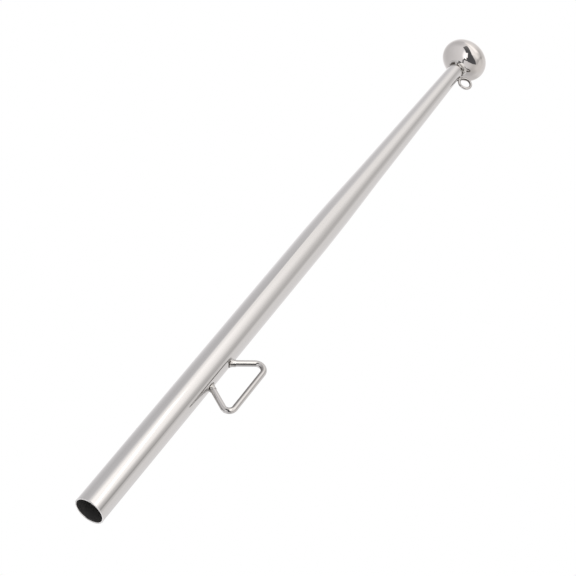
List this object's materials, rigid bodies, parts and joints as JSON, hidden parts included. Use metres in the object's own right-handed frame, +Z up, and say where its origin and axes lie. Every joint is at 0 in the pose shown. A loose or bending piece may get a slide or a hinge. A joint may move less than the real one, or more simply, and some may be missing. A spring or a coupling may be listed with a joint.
{
  "type": "marine flagstaff",
  "caption": "Tapered polished stainless flagstaff with a bent-rod halyard cleat, a small halyard eye and a flattened ball truck at the top.",
  "frame": {"origin": "centre of the tube's open foot, on its end face", "axes": "+Z up the staff towards the ball, +X towards the halyard cleat"},
  "size_m": [0.0614, 0.0418, 0.6111],
  "materials": {
    "polished_steel": "mirror-polished stainless steel",
    "weld_steel": "buffed weld bead"
  },
  "bodies": {
    "root": {"staff_tube": "polished_steel", "truck_ball": "polished_steel", "halyard_cleat": "polished_steel", "halyard_eye": "polished_steel", "cleat_weld_lower": "weld_steel", "cleat_weld_upper": "weld_steel", "truck_weld": "weld_steel", "eye_weld": "weld_steel"}
  },
  "joints": []
}
